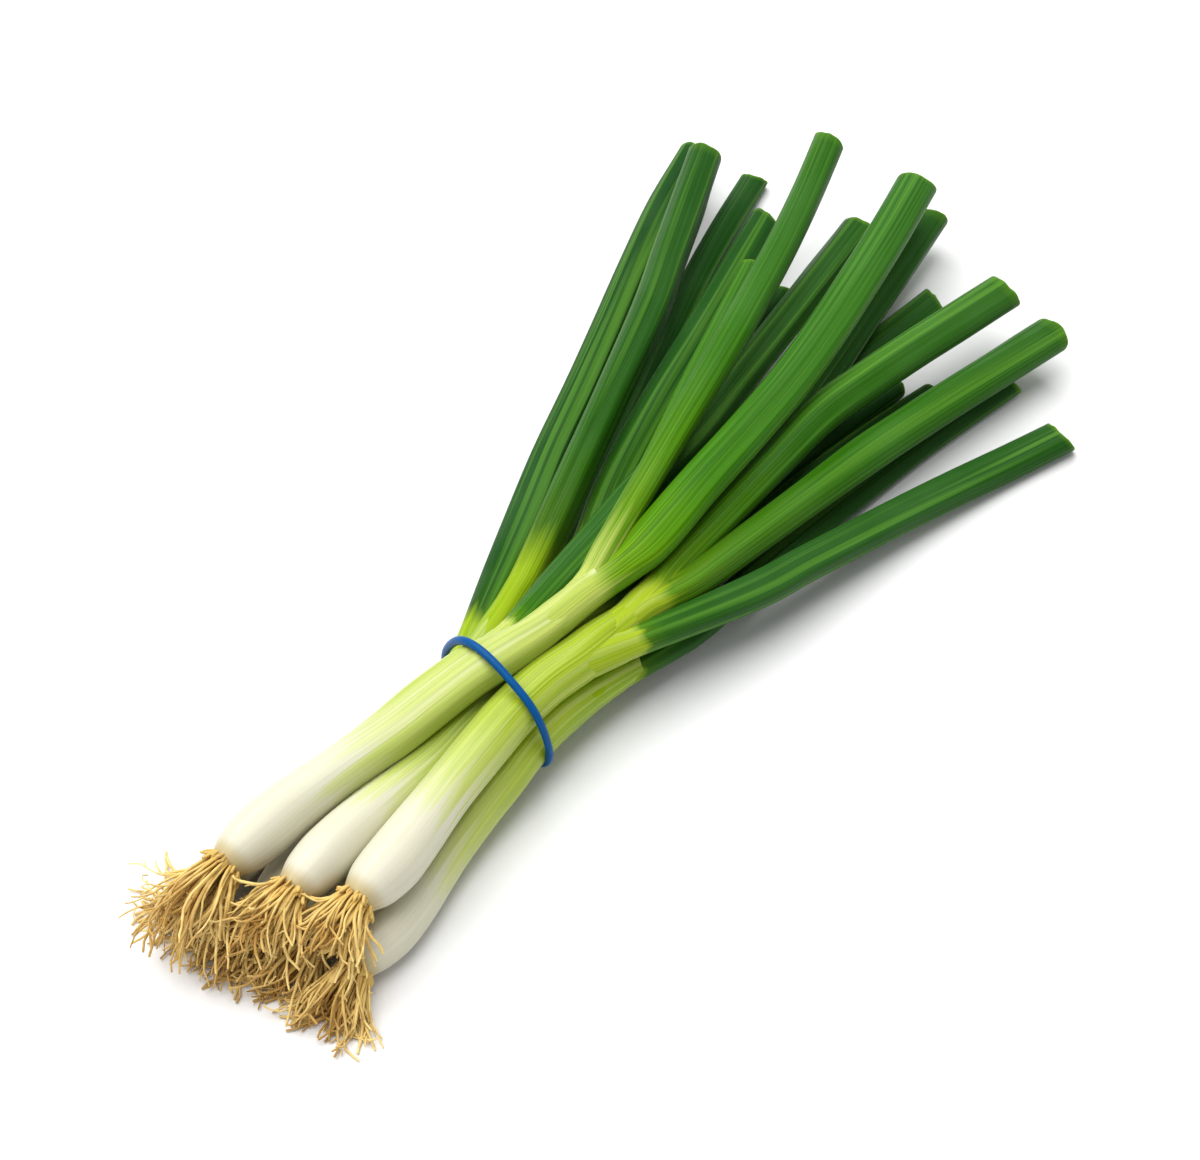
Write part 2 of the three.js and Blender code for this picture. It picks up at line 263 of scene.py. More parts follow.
# The tone of the flesh is the distance from the root plate in millimetres. From WHITE_UNTIL
# on it gains at the pace of its onion, and over the last MOUTH_BLUSH before the mouth it
# rises to MOUTH_GREEN, but it levels out at the tone of its own mouth.
WHITE_UNTIL, MOUTH_BLUSH, MOUTH_GREEN, LEVELLING = 40, 30, 120, 16
GREENING_PACE = {1: 0.9, 2: 1.15, 3: 1.12, 5: 1.2, 6: 1.2}
MOUTH_TONE = {1: 73, 3: 94}


def give_tone(piece, n, near):
    """Marks how green the flesh of an onion is at each point of a piece that begins at near."""
    mouth = stem_routes[n].length * 1000
    tone = piece.data.attributes.new("tone", "FLOAT", "POINT")
    along = piece.data.attributes["along"]
    pace = GREENING_PACE.get(n, 1.0)
    level = MOUTH_TONE.get(n, MOUTH_GREEN) - LEVELLING
    for vertex in piece.data.vertices:
        green = min(near * 1000 + along.data[vertex.index].value, mouth)
        blush = smooth(mouth - MOUTH_BLUSH, mouth, green)
        if green > WHITE_UNTIL:
            green = WHITE_UNTIL + (green - WHITE_UNTIL) * pace
        green += blush * max(MOUTH_GREEN - green, 0)
        held = LEVELLING * (1 - math.exp(-max(green - level, 0) / LEVELLING))
        tone.data[vertex.index].value = min(green, level) + held


def make_stem(n):
    """One stem, with the edges of its wrapped sheaths as low steps that wind slowly round it."""
    draw = random.Random(100 + n)
    route = stem_routes[n]
    mouth = route.length
    forks = [fork_of(n, k) for k in range(1, LEAVES[n] + 1)]
    side_forks = [(near, lean) for near, _, lean in forks if near < mouth - SIDE_LEAF]
    collar = draw.uniform(1.8, 2.2)
    rings = int((mouth - 0.003) / STEM_STEP)
    outer = [0.0, 0.0003] + [0.0012 + i * STEM_STEP for i in range(rings)]
    outer += [mouth - 0.0012, mouth - 0.0003]
    inside = [mouth, mouth - 0.0012, mouth - 0.004, mouth - 0.007]
    stations = outer + inside
    last = len(outer) - 1
    flats = facets(draw, SHAFT_FLATS)
    twist = draw.uniform(-4, 4)
    edges = [(draw.uniform(-3.1, 3.1), draw.uniform(-6, 6), height, first)
             for height, first in SHEATH_EDGES]
    ripple = draw.uniform(0, 50)
    neck = route.at(0.6 * mouth)[2]
    lip_width, pale_lip_and_highlight = WIDE_LIP.get(n, FLAT_LIP)
    fullness = SHAFT_FULLNESS.get(n, 1.0)

    def section(index, angle):
        station = stations[index]
        pressed = FLAT_REACH * faceted(flats, angle - twist * station, FLAT_SHARPNESS)
        width = 1 + 0.8 * smooth(*SHAFT_BEGINS, station) * (pressed - 1)
        if n in SIDE_SHEATH:
            lobe, bulge = SIDE_SHEATH[n]
            beside = smooth(*SHEATH_SWELLS, station) * (1 - smooth(*SHEATH_LIES_DOWN, station))
            groove = between(angle, lobe - GROOVE_TURN)
            width += beside * bulge * math.exp(-(between(angle, lobe) / 0.45) ** 2)
            width -= GROOVE_DEPTH * beside * math.exp(-(groove / 0.16) ** 2)
        for start, winding, height, first in edges:
            around = (angle - start - winding * station) / (2 * math.pi) % 1
            step = height * (0.5 - around) * smooth(0, 0.06, around)
            width += step * smooth(first, first + 0.03, station)
        spot = Vector((math.cos(angle), math.sin(angle), station * RIPPLES + ripple))
        width += RIPPLE_HEIGHT * noise.noise(spot)
        width *= 1 + (fullness - 1) * smooth(0.03, 0.07, station)
        for near, lean in side_forks:
            hidden = smooth(near - 0.014, near + 0.008, station)
            width *= 1 - hidden * (0.1 + 0.26 * smooth(1.9, 0.4, between(angle, lean)))
        sunk = smooth(mouth - 0.034, mouth - 0.002, station)
        over = math.exp(-(between(angle, collar) / 0.6) ** 2)
        lip = lip_width * neck / route.at(station)[2]
        width += sunk * (over * lip + (1 - over) * UNDER_LIP * width - width)
        shift = 0.001 * over * smooth(mouth - 0.012, mouth, station)
        if index == 0:
            width = 0.9
        if index > last:
            width *= MOUTH_INSIDE[index - last - 1]
        # Pale edge of the lip: partly its own thin edge, partly a painted crescent highlight.
        pale = smooth(mouth - 0.003, mouth - 0.0006, station) * over * pale_lip_and_highlight
        return width, width, shift, pale

    stem = straight_tube(f"stem_{n}", STEM_SIDES, len(stations))
    lay(stem, route, stations, section, n)
    give_tone(stem, n, 0.0)
    return stem


def srgb(red, green, blue):
    """A colour as seen on a screen, 0 to 255, as the light values that a shader takes."""
    shares = [c / 255 for c in (red, green, blue)]
    return [c / 12.92 if c <= 0.04045 else ((c + 0.055) / 1.055) ** 2.4 for c in shares] + [1.0]


def feed(tree, socket, value):
    """Gives a socket another node's output or a plain value."""
    if isinstance(value, bpy.types.NodeSocket):
        tree.links.new(value, socket)
    else:
        socket.default_value = value


def calc(tree, operation, first, second):
    """The sum, product and so on of two values."""
    node = tree.nodes.new("ShaderNodeMath")
    node.operation = operation
    feed(tree, node.inputs[0], first)
    feed(tree, node.inputs[1], second)
    return node.outputs[0]


def ranged(tree, value, low, high, to_low, to_high):
    """A value moved from one range to another, and held inside it."""
    spread = tree.nodes.new("ShaderNodeMapRange")
    for socket, given in zip(spread.inputs, (value, low, high, to_low, to_high)):
        feed(tree, socket, given)
    return spread.outputs["Result"]


def graded(tree, value, span, stops):
    """The colour that goes with a value: stops are pairs of a value up to span and a colour."""
    ramp = tree.nodes.new("ShaderNodeValToRGB")
    ramp.color_ramp.interpolation = "EASE"
    while len(ramp.color_ramp.elements) < len(stops):
        ramp.color_ramp.elements.new(0.5)
    for element, (place, colour) in zip(ramp.color_ramp.elements, stops):
        element.position, element.color = place / span, srgb(*colour)
    tree.links.new(calc(tree, "DIVIDE", value, span), ramp.inputs["Fac"])
    return ramp.outputs["Color"]


def mixed(tree, mask, first, second, strength=1.0):
    """The second colour over the first as far as the mask and the strength allow."""
    mix = tree.nodes.new("ShaderNodeMix")
    mix.data_type = "RGBA"
    tree.links.new(calc(tree, "MULTIPLY", mask, strength), mix.inputs[0])
    feed(tree, mix.inputs[6], first)
    feed(tree, mix.inputs[7], second)
    return mix.outputs[2]


def reading(tree, name, output="Fac"):
    """What a point of the piece was marked with."""
    node = tree.nodes.new("ShaderNodeAttribute")
    node.attribute_name = name
    return node.outputs[output]


def bumped(tree, shader, height, distance):
    """Gives a surface fine relief, with its full height in metres."""
    bump = tree.nodes.new("ShaderNodeBump")
    bump.inputs["Distance"].default_value = distance
    bump.inputs["Strength"].default_value = 0.7
    tree.links.new(height, bump.inputs["Height"])
    tree.links.new(bump.outputs["Normal"], shader.inputs["Normal"])


def new_material(name, roughness, specular):
    """A material with what is the same all over set on the sockets of its shader."""
    material = bpy.data.materials.new(name)
    material.use_nodes = True
    shader = material.node_tree.nodes["Principled BSDF"]
    shader.inputs["Roughness"].default_value = roughness
    shader.inputs["Specular IOR Level"].default_value = specular
    return material, material.node_tree, shader


def new_group(name, inputs, outputs):
    """An empty node group with number inputs and with outputs of the given kinds."""
    group = bpy.data.node_groups.new(name, "ShaderNodeTree")
    for title, default in inputs:
        socket = group.interface.new_socket(
            name=title, in_out="INPUT", socket_type="NodeSocketFloat")
        socket.default_value = default
    for title, kind in outputs:
        group.interface.new_socket(name=title, in_out="OUTPUT", socket_type=kind)
    given = group.nodes.new("NodeGroupInput").outputs
    return group, given, group.nodes.new("NodeGroupOutput").inputs


def placed(tree, group, **values):
    """A node group put to use, with its named inputs given; underscores stand for spaces."""
    node = tree.nodes.new("ShaderNodeGroup")
    node.node_tree = group
    for name, value in values.items():
        feed(tree, node.inputs[name.replace("_", " ")], value)
    return node.outputs


def veins():
    """Node group: masks of the parallel veins of a plant and of its broader streaks."""
    tree, given, result = new_group(
        "Plant veins",
        [("Veins per mm", 2.2), ("Streaks per mm", 0.5), ("Length of a vein", 60.0)],
        [("Veins", "NodeSocketFloat"), ("Streaks", "NodeSocketFloat")])
    shape = tree.nodes.new("ShaderNodeCombineXYZ")
    feed(tree, shape.inputs["X"], 1.0)
    feed(tree, shape.inputs["Y"], 1.0)
    feed(tree, shape.inputs["Z"], calc(tree, "DIVIDE", 1.0, given["Length of a vein"]))
    drawn = tree.nodes.new("ShaderNodeVectorMath")
    drawn.operation = "MULTIPLY"
    feed(tree, drawn.inputs[0], reading(tree, "straight", "Vector"))
    feed(tree, drawn.inputs[1], shape.outputs[0])
    for output, detail in (("Veins", 2.0), ("Streaks", 3.0)):
        grain = tree.nodes.new("ShaderNodeTexNoise")
        feed(tree, grain.inputs["Vector"], drawn.outputs[0])
        feed(tree, grain.inputs["Scale"], given[output + " per mm"])
        feed(tree, grain.inputs["Detail"], detail)
        feed(tree, result[output], ranged(tree, grain.outputs["Fac"], 0.36, 0.64, 0.0, 1.0))
    return tree


def flesh():
    """Node group: the flesh of stem and leaf foot, brown at the plate at tone 0, then white,
    and yellow green at 150, with darker veins and pale streaks painted on as streak highlights."""
    tree, given, result = new_group(
        "Onion flesh", [("Tone", 60.0), ("Veins", 0.5), ("Streaks", 0.5), ("Patches", 0.5)],
        [("Colour", "NodeSocketColor"), ("Relief", "NodeSocketFloat")])
    drift = calc(tree, "ADD", ranged(tree, given["Streaks"], 0, 1, -8, 8),
                 ranged(tree, given["Patches"], 0, 1, -13, 13))
    drift = calc(tree, "MULTIPLY", drift, ranged(tree, given["Tone"], 8, 40, 0, 1))
    base = graded(tree, calc(tree, "ADD", given["Tone"], drift), 150, [
        (0, (146, 108, 58)),
        (1.6, (186, 168, 126)),
        (6, (210, 205, 186)),
        (34, (210, 207, 184)),
        (48, (200, 204, 146)),
        (64, (184, 196, 100)),
        (88, (164, 182, 42)),
        (120, (140, 166, 10)),
        (148, (118, 152, 2)),
    ])
    strength = ranged(tree, given["Tone"], 34, 90, 0.15, 0.85)
    relief = calc(tree, "MULTIPLY", given["Veins"], strength)
    veined = mixed(tree, relief, base, srgb(96, 138, 8), 0.62)
    # Painted highlight: pale streaks along the flesh stand for soft streak highlights.
    painted_streak_highlight = calc(tree, "MULTIPLY", ranged(tree, given["Streaks"], 0.55, 0.95, 0, 1), strength)
    feed(tree, result["Colour"], mixed(tree, painted_streak_highlight, veined, srgb(202, 210, 128), 0.4))
    feed(tree, result["Relief"], relief)
    return tree


plant_veins, onion_flesh = veins(), flesh()


def stem_finish():
    """Moist, glossy flesh with painted streak highlights, and the thin pale lip of the sheath at
    its mouth, partly its own pale edge and partly a painted crescent highlight.
    """
    material, tree, shader = new_material("white_stem", 0.3, 0.32)
    shader.inputs["Subsurface Weight"].default_value = 0.1
    shader.inputs["Subsurface Radius"].default_value = (0.004, 0.003, 0.0018)
    shader.inputs["Subsurface Scale"].default_value = 1.0
    grain = placed(tree, plant_veins, Veins_per_mm=1.7, Streaks_per_mm=0.5, Length_of_a_vein=130)
    wide = placed(tree, plant_veins, Streaks_per_mm=0.13, Length_of_a_vein=60)
    skin = placed(tree, onion_flesh, Tone=reading(tree, "tone"), Veins=grain["Veins"],
                  Streaks=grain["Streaks"], Patches=wide["Streaks"])
    # The lip of the mouth: its own pale edge and a painted crescent highlight.
    lip = mixed(tree, reading(tree, "edge"), skin["Colour"], srgb(198, 208, 142), 0.8)
    feed(tree, shader.inputs["Base Color"], lip)
    feed(tree, shader.inputs["Roughness"], ranged(tree, grain["Streaks"], 0, 1, 0.26, 0.4))
    bumped(tree, shader, skin["Relief"], 0.0001)
    return material


stem_material = stem_finish()
for n in ONIONS:
    stem = make_stem(n)
    stem.data.materials.append(stem_material)
    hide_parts(f"onion_{n}_stem")
    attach(stem, "root")

# ----------------------------------------------------------------- leaves
# Each leaf is a hollow green tube with a thin wall, a little flattened, that leaves the
# stem pale and darkens within a few centimetres. It has fine veins along it, long soft
# creases, and a square cut at the end that shows the bright green edge of its wall.
# Dark streaks on it are painted shade and pale streaks are painted highlights, and the
# leaves that lie under the others or lie low are painted darker as shade.

LEAF_SIDES = 40
LEAF_STEP = 0.0022
LEAF_WALL = 0.0007
LEAF_FLATS, LEAF_SHARPNESS = (5, 6, 6, 7), 8  # one of these numbers of flat sides for a leaf
LEAF_WAVES, CREASE_SPREAD = 9, 0.2  # per metre, and in radians round the leaf
RAGGED = 0.0005  # how uneven the cut end is
LEAD = 0.045  # how far back inside the stem a leaf begins
LEAF_FOOT = 0.78  # the share of its full width that a leaf has where it parts from the stem
LEAF_WIDTH, LEAF_THICKNESS = 1.04, 0.74  # the least of both, against the half width of the foot
END_WALL = (0.12, 0.88, 1, 1.1, 1.15, 1.2)  # how far in the rings of the open end lie, in walls

# Where each leaf begins to darken, and in what length it does, in millimetres from its fork.
PLAIN_GREENING = (0, 20)
GREENING = {
    (1, 1): (-1, 9), (1, 2): (-14, 90), (1, 3): (-14, 92), (1, 4): (-16, 60),
    (3, 1): (-1, 9), (3, 2): (-36, 100), (3, 3): (-30, 90),
    (4, 1): (-6, 16), (4, 2): (-6, 16),
    (6, 1): (4, 50), (6, 2): (4, 50),
    (7, 1): (0, 24), (7, 2): (2, 58),
}

# Painted shade on the leaves that lie under the others, as a share of a dark green. The rest
# get painted shade as far as they lie low, with a random share added.
PAINTED_SHADE = {(1, 1): 0.35, (6, 1): 1.0, (6, 2): 0.95, (7, 1): 1.1, (7, 2): 0.8}

# The leaves that leave their stem in a straight line, and the ring up to which they do.
STRAIGHT_FEET = {(1, 1): 5, (1, 2): 7, (1, 3): 6, (3, 2): 6, (3, 3): 6, (7, 2): 7}


def leaf_route(n, k):
    """The line of a leaf, begun inside its stem, so that it grows smoothly out of the stem."""
    rings = rings_of(f"onion_{n}_leaf_{k}")
    plain = Route(rings)
    stem = stem_routes[n]
    near, shift, _ = fork_of(n, k)
    sideways = near < stem.length - SIDE_LEAF
    start, done = (-0.03, 0.016) if sideways else (-0.016, 0.024)
    full = rings[4][1]
    neck = stem.at(near - 0.03)[2]
    line = []
    stations = (-LEAD, -0.032, -0.022, -0.014, -0.007, 0.0)
    for station in stations if sideways else stations + (0.009,):
        axis = stem.at(near + station)[0]
        goal = plain.at(station)[0] if station > 0 else axis + shift
        middle = axis + (goal - axis) * smooth(start, done, station)
        own = full * (LEAF_FOOT + (1 - LEAF_FOOT) * smooth(0, 0.03, station))
        parted = smooth(-0.026, 0.003, station)
        wide = 0.97 * neck * (1 - parted) + own * parted
        line.append((middle, wide, wide * (0.99 - 0.2 * smooth(-0.012, 0.03, station))))
    beyond = rings[4:] if sideways else rings[3:]
    if (n, k) in STRAIGHT_FEET:
        beyond = rings[STRAIGHT_FEET[n, k]:]
        foot = line[-1]
        line += [[here + (there - here) * share for here, there in zip(foot, beyond[0])]
                 for share in (0.3, 0.65)]
    line += [(middle, max(wide, LEAF_WIDTH * full), max(thick, LEAF_THICKNESS * full))
             for middle, wide, thick in beyond]
    return Route(line, -LEAD)


def make_leaf(n, k):
    """One leaf, with soft flat sides, a crease and a square cut that goes down into the tube."""
    draw = random.Random(1000 * n + k)
    route = leaf_route(n, k)
    end = route.length
    count = round((end + LEAD) / LEAF_STEP)
    outer = [-LEAD + i * (end - 0.002 + LEAD) / count for i in range(count + 1)]
    outer += [end - 0.0008, end - 0.0002]
    deep = [end, end, end - 0.0003, end - 0.003, end - 0.012, end - 0.024]
    stations = outer + deep
    last = len(outer) - 1
    flats = facets(draw, draw.choice(LEAF_FLATS))
    crease = draw.uniform(0.9, 2.2)
    crease_depth = draw.uniform(0.05, 0.15)
    slant, slant_way = draw.uniform(0.0006, 0.0022), draw.uniform(0, 6.28)
    wander = draw.uniform(0, 90)
    wall = LEAF_WALL / route.at(end)[2]

    def section(index, angle):
        station = stations[min(index, last)]
        slow = station * LEAF_WAVES + wander
        turn = 0.7 * noise.noise(Vector((slow * 0.6, 3.1, 0)))
        soft = smooth(-0.005, 0.03, station) * (1 - 0.75 * smooth(end - 0.03, end, station))
        shape = 1 + soft * (faceted(flats, angle - turn, LEAF_SHARPNESS) - 1)
        shape -= 0.03 * smooth(-0.006, -0.014, station) + 0.14 * smooth(-0.014, -0.036, station)
        away = math.remainder(angle - crease - turn, 2 * math.pi)
        opened = smooth(0.005, 0.05, station) * (0.5 + 0.8 * noise.noise(Vector((slow, 0, 7.7))))
        shape -= crease_depth * max(opened, 0) * math.exp(-(away / CREASE_SPREAD) ** 2)
        spot = Vector((1.6 * math.cos(angle), 1.6 * math.sin(angle), 3 * slow))
        shape += 0.012 * soft * noise.noise(spot)
        width = shape * (1 + 0.05 * soft * noise.noise(Vector((slow, 0, 0))))
        height = shape * (1 + 0.07 * soft * noise.noise(Vector((slow, 5.5, 0))))
        cut = smooth(end - 0.012, end, station)
        spot = Vector((2.2 * math.cos(angle), 2.2 * math.sin(angle), wander))
        ragged = RAGGED * noise.noise(spot)
        shift = cut * (slant * math.cos(angle - slant_way) + ragged)
        if index > last:
            thin = 1 - wall * END_WALL[index - last - 1]
            width, height = width * thin, height * thin
        if index == len(stations) - 1:
            width, height = 0.5 * width, 0.5 * height
        pale = smooth(end - 0.0012, end - 0.0002, station) if index <= last else 1.0
        if index > last + 3:
            pale = 0.4
        return width, height, shift, pale

    leaf = straight_tube(f"leaf_{n}_{k}", LEAF_SIDES, len(stations))
    lay(leaf, route, stations, section, 10 * n + k)
    mesh = leaf.data
    for name in ("green", "shade"):
        mesh.attributes.new(name, "FLOAT", "POINT")
    green, shade, along = (mesh.attributes[name] for name in ("green", "shade", "along"))
    begins, darkens = GREENING.get((n, k), PLAIN_GREENING)
    # Painted shade: low leaves, and the listed ones, are painted darker.
    low = 1 - smooth(0.009, 0.03, route.at(0.45 * end)[0].z)
    depth = PAINTED_SHADE.get((n, k), 0.62 * low + draw.uniform(0.0, 0.35))
    for vertex in mesh.vertices:
        travelled = along.data[vertex.index].value
        grown = 100 * max(travelled - begins, 0) / darkens
        green.data[vertex.index].value = grown * smooth(-6, 4, travelled)
        shade.data[vertex.index].value = depth
    give_tone(leaf, n, fork_of(n, k)[0])
    return leaf


def leaf_finish():
    """Fresh leaf with a thin wax bloom: the flesh of the stem at its foot, dark green above,
    with painted shade on the lower leaves, painted shade in dark streaks and painted
    highlights in pale streaks.
    """
    material, tree, shader = new_material("green_leaf", 0.36, 0.08)
    grain = placed(tree, plant_veins, Veins_per_mm=1.4, Streaks_per_mm=0.42, Length_of_a_vein=120)
    foot = placed(tree, onion_flesh, Tone=reading(tree, "tone"), Veins=grain["Veins"],
                  Streaks=grain["Streaks"])
    grown = calc(tree, "ADD", reading(tree, "green"), ranged(tree, grain["Streaks"], 0, 1, -14, 9))
    leaf = graded(tree, grown, 400, [
        (0, (128, 164, 16)),
        (40, (108, 154, 8)),
        (72, (84, 140, 4)),
        (115, (64, 122, 18)),
        (200, (60, 114, 30)),
        (400, (58, 108, 38)),
    ])
    # Painted shade: mixed towards a dark green as far as the leaf's shade mark goes.
    leaf = mixed(tree, reading(tree, "shade"), leaf, srgb(12, 56, 20), 0.8)
    leaf = mixed(tree, grain["Veins"], leaf, srgb(20, 66, 0), 0.56)
    # Painted shade and highlight: dark streaks stand for shade in furrows, pale streaks for
    # highlights along ridges.
    painted_furrow_shade = ranged(tree, grain["Streaks"], 0.4, 0.0, 0, 1)
    leaf = mixed(tree, painted_furrow_shade, leaf, srgb(22, 76, 4), 0.22)
    painted_ridge_highlight = ranged(tree, grain["Streaks"], 0.6, 1.0, 0, 1)
    leaf = mixed(tree, painted_ridge_highlight, leaf, srgb(104, 162, 50), 0.34)
    bloom = tree.nodes.new("ShaderNodeTexNoise")
    feed(tree, bloom.inputs["Vector"], tree.nodes.new("ShaderNodeTexCoord").outputs["Object"])
    feed(tree, bloom.inputs["Scale"], 34.0)
    wax = ranged(tree, bloom.outputs["Fac"], 0.45, 0.75, 0, 1)
    leaf = mixed(tree, wax, leaf, srgb(84, 126, 70), 0.14)
    colour = mixed(tree, ranged(tree, grown, 0, 36, 0, 1), foot["Colour"], leaf)
    rimmed = mixed(tree, reading(tree, "edge"), colour, srgb(92, 138, 30), 0.8)
    feed(tree, shader.inputs["Base Color"], rimmed)
    feed(tree, shader.inputs["Roughness"], ranged(tree, grain["Streaks"], 0, 1, 0.3, 0.46))
    bumped(tree, shader, grain["Veins"], 0.0001)
    return material


leaf_material = leaf_finish()
for n in ONIONS:
    for k in range(1, LEAVES[n] + 1):
        leaf = make_leaf(n, k)
        leaf.data.materials.append(leaf_material)
        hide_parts(f"onion_{n}_leaf_{k}")
        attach(leaf, "root")

# ------------------------------------------------------------------ roots
# The roots are straw-coloured threads about a millimetre thick, dry and wrinkled, that
# spring from the rim of the root plate, fan out, droop under their own weight and curl at
# their tips, where some of them fork. Short broken stubs stand round the plate.

ROOTS_PER_TUFT = 112
ROOT_LENGTHS, ROOT_RADII = (0.019, 0.034), (0.00034, 0.00058)  # the least and the most
TUFT_FULLNESS = {1: 1.0, 2: 0.74, 3: 0.68, 4: 0.8, 5: 0.84, 6: 0.86, 7: 0.92}
TWIG_SHARE = 0.6  # of the roots fork
TWIG_LENGTHS = (0.004, 0.009)
STUBS_PER_TUFT = 40
STUB_LENGTHS, STUB_RADII, STUB_TIP = (0.0022, 0.0046), (0.0004, 0.0006), 0.0003
ROOT_POINTS = 12
ROOT_WANDER, ROOT_CURL = 0.07, 0.62  # how far a root turns at each step, and more at its tip
ROOT_DROOP = 0.1
ROOT_LOWEST = 0.0007  # the height of a root's middle that lies on the table


def jolt(draw):
    """A push in any direction."""
    return Vector((draw.gauss(0, 1), draw.gauss(0, 1), draw.gauss(0, 1)))


def root_line(draw, start, way, length, unrest):
    """The points of one root, which droops, wanders and never goes through the table."""
    points, place, heading = [start.copy()], start.copy(), way.normalized()
    step = length / (ROOT_POINTS - 1)
    curl = jolt(draw)
    for i in range(1, ROOT_POINTS):
        share = i / ROOT_POINTS
        curl = curl * 0.6 + jolt(draw) * 0.6
        heading += curl * unrest * (ROOT_WANDER + ROOT_CURL * share * share)
        heading.z -= ROOT_DROOP
        heading.normalize()
        place = place + heading * step
        if place.z < ROOT_LOWEST:
            place.z = ROOT_LOWEST
            heading.z = abs(heading.z) * 0.3
        points.append(place.copy())
    return points


def make_roots(n):
    """One tuft: the long roots with their forked tips, then the stubs, as threads of one mesh."""
    draw = random.Random(500 + n)
    stem = stem_routes[n]
    plate, way, _, _ = stem.at(0.0)
    back = -way
    side = back.cross(Vector((0, 0, 1))).normalized()
    top = side.cross(back)
    strands = []
    for _ in range(ROOTS_PER_TUFT):
        angle = draw.uniform(0, 2 * math.pi)
        out = side * math.cos(angle) + top * math.sin(angle)
        rim = math.sqrt(draw.uniform(0.1, 1.0))
        flare = rim * draw.uniform(0.35, 1.0) * (1 - 0.4 * max(math.sin(angle), 0))
        start = plate + out * (0.0048 * rim) - back * 0.0006
        length = draw.uniform(*ROOT_LENGTHS) * (1.12 - 0.25 * flare) * TUFT_FULLNESS[n]
        line = root_line(draw, start, back + out * 0.85 * flare, length, draw.uniform(0.4, 0.85))
        thick = draw.uniform(*ROOT_RADII)
        taper = [1 - 0.35 * (i / (ROOT_POINTS - 1)) ** 1.5 + draw.uniform(-0.08, 0.1)
                 for i in range(ROOT_POINTS)]
        strands.append((line, [thick * share for share in taper]))
        if draw.random() < TWIG_SHARE:
            fork = draw.randrange(5, 10)
            heading = (line[fork] - line[fork - 1]).normalized() + jolt(draw) * 0.6
            twig = root_line(draw, line[fork], heading, draw.uniform(*TWIG_LENGTHS), 0.7)[:7]
            strands.append((twig, [0.6 * thick * (1 - 0.08 * i) for i in range(len(twig))]))
    for _ in range(STUBS_PER_TUFT):
        angle = draw.uniform(0, 2 * math.pi)
        out = side * math.cos(angle) + top * math.sin(angle)
        start = plate + out * draw.uniform(0.0042, 0.0053) - back * 0.0012
        heading = back * 0.7 + out * draw.uniform(0.1, 0.9)
        line = root_line(draw, start, heading, draw.uniform(*STUB_LENGTHS), 0.5)[::2]
        strands.append((line, [draw.uniform(*STUB_RADII)] * (len(line) - 1) + [STUB_TIP]))
    threads = bpy.data.curves.new(f"roots_{n}", "CURVE")
    threads.dimensions = "3D"
    threads.bevel_depth = 1.0
    threads.bevel_resolution = 1
    threads.use_fill_caps = True
    for line, radii in strands:
        spline = threads.splines.new("POLY")
        spline.points.add(len(line) - 1)
        for point, place, radius in zip(spline.points, line, radii):
            point.co = (*place, 1)
            point.radius = radius
    roots = bpy.data.objects.new(f"roots_{n}", threads)
    bpy.context.scene.collection.objects.link(roots)
    bpy.ops.object.select_all(action="DESELECT")
    roots.select_set(True)
    bpy.context.view_layer.objects.active = roots
    bpy.ops.object.convert(target="MESH")
    roots = bpy.context.object
    bpy.ops.object.shade_smooth()
    for name in ("along", "inner"):
        roots.data.attributes.new(name, "FLOAT", "POINT")
    along, inner = roots.data.attributes["along"], roots.data.attributes["inner"]
    for vertex in roots.data.vertices:
        vertex.co.z = max(vertex.co.z, 0.0)
        far = vertex.co - plate
        beside = (far - back * far.dot(back)).length
        along.data[vertex.index].value = far.length * 1000
        # Painted shade: how near a point lies to the middle of the tuft, where roots are painted
        # darker.
        inner.data[vertex.index].value = 1 - smooth(0.1, 0.62, beside / (far.length + 0.001))
    bpy.ops.object.select_all(action="DESELECT")
    return roots


def root_finish():
    """Dry root skin: brown at the plate, straw-coloured outwards, with darker wrinkles, and
    painted shade on the roots near the middle of the tuft.
    """
    material, tree, shader = new_material("roots", 0.7, 0.3)
    place = tree.nodes.new("ShaderNodeTexCoord").outputs["Object"]
    patches = tree.nodes.new("ShaderNodeTexNoise")
    wrinkles = tree.nodes.new("ShaderNodeTexNoise")
    for grain, scale in ((patches, 260.0), (wrinkles, 1500.0)):
        feed(tree, grain.inputs["Vector"], place)
        feed(tree, grain.inputs["Scale"], scale)
    drift = ranged(tree, patches.outputs["Fac"], 0, 1, -4, 4)
    skin = graded(tree, calc(tree, "ADD", reading(tree, "along"), drift), 40, [
        (0, (132, 90, 20)),
        (3, (194, 156, 76)),
        (8, (228, 198, 120)),
        (24, (238, 210, 136)),
        (38, (222, 186, 100)),
    ])
    # Painted shade inside the tuft, as a dark golden brown.
    skin = mixed(tree, reading(tree, "inner"), skin, srgb(150, 98, 2), 0.7)
    dull = ranged(tree, patches.outputs["Fac"], 0.45, 0.7, 0, 1)
    feed(tree, shader.inputs["Base Color"], mixed(tree, dull, skin, srgb(164, 112, 12), 0.5))
    bumped(tree, shader, wrinkles.outputs["Fac"], 0.0002)
    return material


root_material = root_finish()
for n in ONIONS:
    roots = make_roots(n)
    roots.data.materials.append(root_material)
    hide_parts(f"onion_{n}_roots")
    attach(roots, "root")

# ------------------------------------------------------------ rubber band
# The band is a thin round cord of smooth blue rubber, stretched once round the stems, so
# that it presses a little into the outer ones and runs straight between them.

